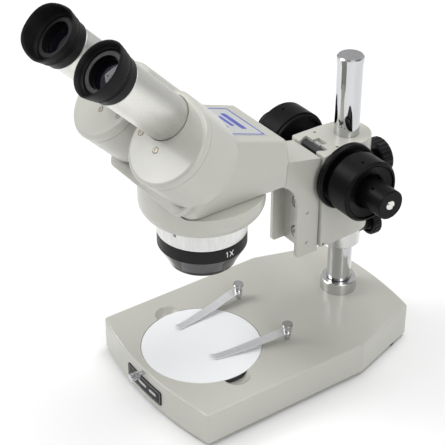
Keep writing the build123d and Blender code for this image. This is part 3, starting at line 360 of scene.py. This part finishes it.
# ---- turret ring ------------------------------------------------------------------------
def turret_ring():
    """Ring with straight knurling between two plain lands."""
    ridges = 150
    steps_per_ridge = 6
    groove_depth = 0.42
    knurled_rings = (5, 6)
    rings = [(29.0, 137.2), (33.9, 137.2), (34.15, 137.4), (34.2, 137.9), (34.2, 138.6), (34.3, 138.9)]
    rings += [(34.3, 150.6), (34.2, 150.9), (34.2, 151.5), (34.1, 151.8), (33.8, 151.95), (30.5, 151.95)]
    rings += [(30.5, 155.9), (37.4, 155.9), (37.6, 156.1), (37.6, 158.4), (37.4, 158.6), (29.0, 158.6)]

    def warp(index, radius, height, a, k):
        if index in knurled_rings:
            wave = abs(((k % steps_per_ridge) / steps_per_ridge) * 2 - 1)
            radius = radius - groove_depth * (1 - smooth_step(wave * 1.3))
        return radius, height

    matrix = Matrix.Translation(place(0, TURRET_Y, 0))
    bm = lathe(rings, ridges * steps_per_ridge, matrix, warp)
    make_piece("turret_knurled_ring", bm, "knurl", "turret", ["turret_ring"], angle=20.0)


turret_ring()


# ---- stage clips ------------------------------------------------------------------------
def clip_leaf(side_name, side):
    """Tempered strip: flat eye at the post, long bow, turned-up toe, rounded ends."""
    tip_x = 19.0 if side > 0 else -27.5
    root = Vector((side * 33.2, 59.4, 0))
    way = Vector((tip_x, -4.8, 0)) - root
    length = 65.2
    way.normalize()
    across = Vector((-way.y, way.x, 0))
    thick = 0.7
    eye_radius = 4.45
    toe_radius = 3.2
    rise = [(-4.4, 34.6), (0.0, 34.6), (4.0, 34.5), (8.0, 34.0), (14.0, 32.9), (24.0, 31.1)]
    rise += [(36.0, 29.4), (48.0, 28.0), (54.0, 27.4), (58.0, 27.15), (60.5, 27.2), (62.5, 27.7)]
    rise += [(64.2, 28.6), (length, 29.3)]
    columns = 8
    stations = []
    for i in range(len(rise) - 1):
        (s0, z0), (s1, z1) = rise[i], rise[i + 1]
        for q in range(4):
            stations.append((s0 + (s1 - s0) * q / 4, z0 + (z1 - z0) * q / 4))
    stations.append(rise[-1])

    def half_width(s):
        full = 4.4 - 1.2 * smooth_step((s - 2) / 60)
        if s < 0:
            return max(0.6, math.sqrt(max(0.0, eye_radius**2 - s * s)))
        end = length - s
        if end < toe_radius:
            return max(0.5, math.sqrt(max(0.0, toe_radius**2 - (toe_radius - end) ** 2)))
        return full

    bm = bmesh.new()
    faces = []
    for layer in (0.0, thick):
        grid = []
        for s, z in stations:
            w = half_width(s)
            row = []
            for c in range(columns + 1):
                t = -1 + 2 * c / columns
                p = root + way * s + across * (w * t)
                row.append(bm.verts.new(place(p.x, p.y, z + layer)))
            grid.append(row)
        faces.append(grid)
    low, high = faces
    rows = len(stations)
    for i in range(rows - 1):
        for c in range(columns):
            bm.faces.new((low[i][c], low[i][c + 1], low[i + 1][c + 1], low[i + 1][c]))
            bm.faces.new((high[i][c], high[i + 1][c], high[i + 1][c + 1], high[i][c + 1]))
        bm.faces.new((low[i][0], low[i + 1][0], high[i + 1][0], high[i][0]))
        bm.faces.new((low[i][columns], high[i][columns], high[i + 1][columns], low[i + 1][columns]))
    for c in range(columns):
        bm.faces.new((low[0][c], high[0][c], high[0][c + 1], low[0][c + 1]))
        bm.faces.new((low[-1][c], low[-1][c + 1], high[-1][c + 1], high[-1][c]))
    make_piece("clip_spring_" + side_name, bm, "steel", "clip_" + side_name,
               ["clip_leaf_" + side_name], angle=40.0)


for side_name, side in SIDES.items():
    clip_leaf(side_name, side)


# ---- printed marks ----------------------------------------------------------------------
def bar(bm, surface, start, end, width, lift=0.05):
    """Thin raised stroke from start to end, laid on a surface(x, y, height) in millimetres."""
    (x0, y0), (x1, y1) = start, end
    length = math.hypot(x1 - x0, y1 - y0)
    ux, uy = (x1 - x0) / length, (y1 - y0) / length
    pieces = max(2, int(length / 1.5))
    half = width / 2
    rows = []
    for i in range(pieces + 1):
        along = length * i / pieces
        near_end = min(along, length - along)
        w = half * (0.75 if near_end < 1e-6 else 1.0)
        corners = []
        for across, height in ((-w, 0.0), (w, 0.0), (w, lift), (-w, lift)):
            x = x0 + ux * along - uy * across
            y = y0 + uy * along + ux * across
            corners.append(bm.verts.new(surface(x, y, height)))
        rows.append(corners)
    for low, high in zip(rows, rows[1:]):
        for c in range(4):
            d = (c + 1) % 4
            bm.faces.new((low[c], low[d], high[d], high[c]))
    bm.faces.new(rows[0])
    bm.faces.new(list(reversed(rows[-1])))


def frame_bars(bm, surface, half_w, half_h, width):
    """Four strokes round a rectangle."""
    a, b = half_w - width / 2, half_h - width / 2
    bar(bm, surface, (-half_w, b), (half_w, b), width)
    bar(bm, surface, (-half_w, -b), (half_w, -b), width)
    bar(bm, surface, (-a, -b), (-a, b), width)
    bar(bm, surface, (a, -b), (a, b), width)


def label_marks():
    """Blue frame and plain rules on the label: no lettering."""
    slope = 0.3346
    x_dir = Vector((1, 0, 0))
    y_dir = Vector((0, 1, -slope)).normalized()
    normal = x_dir.cross(y_dir)
    origin = place(0, 25.0, 219.0) + normal * (0.291 * MM)

    def surface(x, y, height):
        return origin + (x_dir * x + y_dir * y + normal * height) * MM

    bm = bmesh.new()
    frame_bars(bm, surface, 24.0, 16.6, 1.4)
    for y, half, width in ((5.0, 14.0, 5.0), (-2.0, 9.0, 3.6), (-8.5, 12.0, 1.4)):
        bar(bm, surface, (-half, y), (half, y), width)
    make_piece("label_print", bm, "ink", "head", smooth=False)


def round_surface(centre, radius, middle_z, middle_angle):
    """Surface of an upright cylinder: x runs round it and y up it."""
    def surface(x, y, height):
        a = middle_angle + x / radius
        r = radius + height
        return place(centre[0] + r * math.cos(a), centre[1] + r * math.sin(a), middle_z + y)
    return surface


def badge_marks():
    """Silver frame and plain strokes on the badge: no lettering."""
    half_w, bow = 74.0, 9.5
    radius = (half_w**2 + bow**2) / (2 * bow)
    centre_y = -44.5 - bow + radius
    surface = round_surface((0, centre_y), radius + 0.8, 12.1, -math.pi / 2)
    bm = bmesh.new()
    frame_bars(bm, surface, 22.0, 5.3, 0.2)
    for x0, x1, width in ((-7.0, 4.0, 2.6), (8.0, 17.0, 2.6)):
        bar(bm, surface, (x0, 0), (x1, 0), width)
    make_piece("badge_print", bm, "silver", "stand", smooth=False)


def power_mark():
    """The magnification numeral on the objective sleeve."""
    surface = round_surface((0, TURRET_Y), 34.0, 130.9, math.radians(2.6))
    bm = bmesh.new()
    stroke = 0.75
    for x0, y0, x1, y1 in ((-2.3, -2.4, -2.3, 2.4), (-3.4, 1.5, -2.3, 2.4),
                           (-0.2, -2.4, 3.2, 2.4), (-0.2, 2.4, 3.2, -2.4)):
        bar(bm, surface, (x0, y0), (x1, y1), stroke)
    make_piece("power_print", bm, "white", "turret", smooth=False)


def turret_set_screw():
    """Hollow-ended set screw in the knurled ring."""
    angle = math.radians(-69.5)
    turn = Matrix.Rotation(angle, 4, "Z") @ Matrix.Rotation(math.pi / 2, 4, "Y")
    matrix = Matrix.Translation(place(0, TURRET_Y, 147.6)) @ turn
    rings = [(1.15, 33.6), (1.15, 34.34), (0.95, 34.4), (0.7, 34.4), (0.6, 34.3), (0.6, 33.8)]
    rings += [(0.05, 33.8), (0.05, 33.6)]
    bm = lathe(rings, 24, matrix)
    make_piece("turret_set_screw", bm, "matt", "turret")


label_marks()
badge_marks()
power_mark()
turret_set_screw()


# ---- stage, lights and camera -----------------------------------------------------------
def plane(name, size, location, rotation, material):
    bm = bmesh.new()
    bmesh.ops.create_grid(bm, x_segments=1, y_segments=1, size=size)
    mesh = bpy.data.meshes.new(name)
    bm.to_mesh(mesh)
    bm.free()
    mesh.materials.append(material)
    obj = bpy.data.objects.new(name, mesh)
    obj.location = location
    obj.rotation_euler = rotation
    bpy.context.scene.collection.objects.link(obj)
    return obj


floor_shader = Shader("floor_pale", (0.90, 0.90, 0.90), 0.6)
floor_shader.vary_rough(floor_shader.noise(3.0, 2.0), 0.55, 0.65)
plane("floor", 6.0, (0, 0, 0), (0, 0, 0), floor_shader.mat)

world = bpy.data.worlds.new("studio")
bpy.context.scene.world = world
world.use_nodes = True
sky = world.node_tree
back = sky.nodes["Background"]
back.inputs["Strength"].default_value = 0.98
coords = sky.nodes.new("ShaderNodeTexCoord")
parts = sky.nodes.new("ShaderNodeSeparateXYZ")
ramp = sky.nodes.new("ShaderNodeValToRGB")
sky.links.new(coords.outputs["Generated"], parts.inputs[0])
sky.links.new(parts.outputs["Z"], ramp.inputs["Fac"])
ramp.color_ramp.elements[0].position = 0.0
ramp.color_ramp.elements[0].color = (0.5, 0.5, 0.51, 1)
ramp.color_ramp.elements[1].position = 0.9
ramp.color_ramp.elements[1].color = (1.0, 1.0, 1.0, 1)
# Darker and lighter walls round the horizon, which the polished metal reflects as streaks.
turn = sky.nodes.new("ShaderNodeMath")
turn.operation = "ARCTAN2"
sky.links.new(parts.outputs["Y"], turn.inputs[0])
sky.links.new(parts.outputs["X"], turn.inputs[1])
share = sky.nodes.new("ShaderNodeMapRange")
share.inputs["From Min"].default_value = -math.pi
share.inputs["From Max"].default_value = math.pi
sky.links.new(turn.outputs[0], share.inputs["Value"])
walls = sky.nodes.new("ShaderNodeValToRGB")
band = walls.color_ramp
WALL_BANDS = [(0.0, 0.9), (0.08, 1.0), (0.2, 1.0), (0.27, 0.35), (0.36, 0.35), (0.43, 1.0), (0.52, 1.0)]
WALL_BANDS += [(0.58, 0.3), (0.66, 0.3), (0.73, 1.0), (0.85, 1.0), (0.92, 0.45), (1.0, 0.9)]
while len(band.elements) < len(WALL_BANDS):
    band.elements.new(0.5)
for element, (at, level) in zip(band.elements, WALL_BANDS):
    element.position = at
    element.color = (level, level, level, 1)
sky.links.new(share.outputs["Result"], walls.inputs["Fac"])
both = sky.nodes.new("ShaderNodeMix")
both.data_type = "RGBA"
both.blend_type = "MULTIPLY"
both.inputs[0].default_value = 1.0
sky.links.new(ramp.outputs["Color"], both.inputs[6])
sky.links.new(walls.outputs["Color"], both.inputs[7])
sky.links.new(both.outputs[2], back.inputs["Color"])


def area(name, location, target, size, power, color=(1, 1, 1)):
    light = bpy.data.lights.new(name, "AREA")
    light.shape = "RECTANGLE"
    light.size, light.size_y = size
    light.energy = power
    light.color = color
    obj = bpy.data.objects.new(name, light)
    obj.location = location
    obj.rotation_euler = (Vector(target) - Vector(location)).to_track_quat("-Z", "Y").to_euler()
    bpy.context.scene.collection.objects.link(obj)


area("key_softbox", (-0.9, -1.1, 1.5), (0, 0, 0.15), (0.9, 0.9), 17.0)
area("fill_softbox", (1.5, -0.2, 0.9), (0, 0, 0.15), (0.35, 1.2), 6.5)
area("top_softbox", (0.1, 0.5, 1.6), (0, 0, 0.1), (1.2, 0.8), 10.0)

SENSOR = 36.0
IMAGE_SIZE = 445.0
FOCAL_PIXELS = 1381.56
camera_data = bpy.data.cameras.new("camera")
camera = bpy.data.objects.new("camera", camera_data)
bpy.context.scene.collection.objects.link(camera)
azimuth, elevation = math.radians(54.87), math.radians(33.13)
reach = math.cos(elevation)
ahead = Vector((-math.sin(azimuth) * reach, math.cos(azimuth) * reach, -math.sin(elevation)))
camera.location = place(712.27, -480.87, 702.09)
camera.rotation_euler = ahead.to_track_quat("-Z", "Y").to_euler()
camera_data.sensor_width = SENSOR
camera_data.lens = FOCAL_PIXELS * SENSOR / IMAGE_SIZE
bpy.context.scene.camera = camera
bpy.context.scene.view_settings.view_transform = "Standard"
